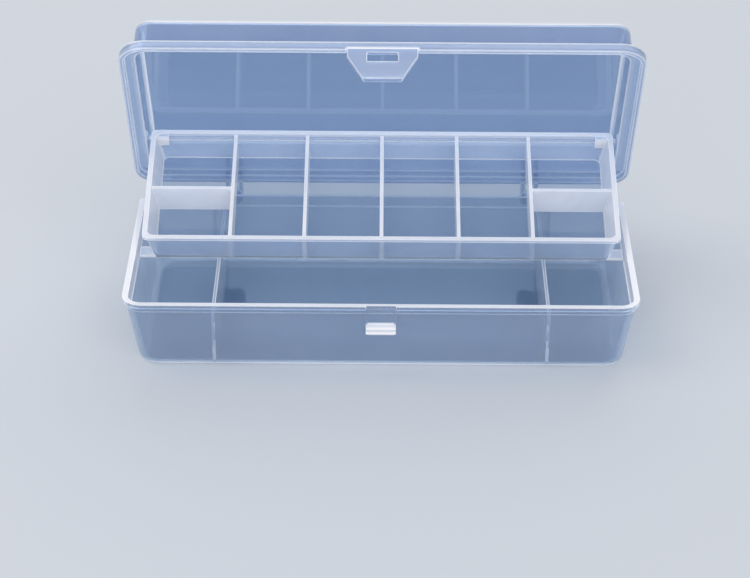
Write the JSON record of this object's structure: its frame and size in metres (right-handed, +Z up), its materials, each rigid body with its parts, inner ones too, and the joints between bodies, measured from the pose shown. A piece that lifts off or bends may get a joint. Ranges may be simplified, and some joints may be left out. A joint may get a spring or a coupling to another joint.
{
  "type": "compartment box",
  "caption": "Shallow clear plastic tackle box with a hinged lid, a snap latch and a divided lift-out tray that swings up with the lid.",
  "frame": {"origin": "middle of the underside of the base", "axes": "+X to the right along the long side, +Y to the rear where the hinges are, +Z up"},
  "size_m": [0.2354, 0.1338, 0.139],
  "materials": {
    "base_body": "clear moulded polypropylene, polished",
    "base_divider": "clear moulded polypropylene, polished",
    "base_catch": "clear moulded polypropylene, polished",
    "hinge_bracket": "clear moulded polypropylene, polished",
    "lid_body": "clear moulded polypropylene, polished",
    "hinge_ear": "clear moulded polypropylene, polished",
    "tray_pin": "clear moulded polypropylene, polished",
    "latch_tab": "clear moulded polypropylene, polished",
    "tray_body": "clear moulded polypropylene, polished",
    "tray_cross_divider": "clear moulded polypropylene, polished",
    "tray_boss": "clear moulded polypropylene, polished",
    "tray_lug": "clear moulded polypropylene, polished",
    "tray_divider": "clear moulded polypropylene, polished"
  },
  "bodies": {
    "base": {"base_tub": "base_body", "base_divider_left": "base_divider", "base_divider_right": "base_divider", "base_catch": "base_catch", "base_hinge_bracket_left": "hinge_bracket", "base_hinge_bracket_right": "hinge_bracket"},
    "lid": {"lid_shell": "lid_body", "lid_hinge_ear_left": "hinge_ear", "lid_hinge_ear_right": "hinge_ear", "lid_tray_pin_left": "tray_pin", "lid_tray_pin_right": "tray_pin"},
    "latch": {"latch_tab": "latch_tab"},
    "tray": {"tray_shell": "tray_body", "tray_divider_1": "tray_divider", "tray_divider_2": "tray_divider", "tray_divider_3": "tray_divider", "tray_divider_4": "tray_divider", "tray_divider_5": "tray_divider", "tray_cross_divider_left": "tray_cross_divider", "tray_cross_divider_right": "tray_cross_divider", "tray_pivot_boss_left": "tray_boss", "tray_pivot_boss_right": "tray_boss", "tray_guide_lug_left": "tray_lug", "tray_guide_lug_right": "tray_lug"}
  },
  "joints": [
    {"name": "lid_hinge", "type": "hinge", "parent": "base", "child": "lid", "pos_m": [0, 0.0662, 0.0286], "axis": [1, 0, 0], "range_deg": [0, 55.4]},
    {"name": "tray_pivot", "type": "hinge", "parent": "lid", "child": "tray", "pos_m": [0, 0.05992, 0.06193], "axis": [1, 0, 0], "range_deg": [-72.85, 0]},
    {"name": "latch_hinge", "type": "hinge", "parent": "lid", "child": "latch", "pos_m": [0, -0.00159, 0.13321], "axis": [-1, 0, 0], "range_deg": [0, 30], "stiffness_Nm_per_rad": 0.02}
  ],
  "couplings": [
    {"joint": "tray_pivot", "follows": "lid_hinge", "ratio": -1.3141}
  ]
}
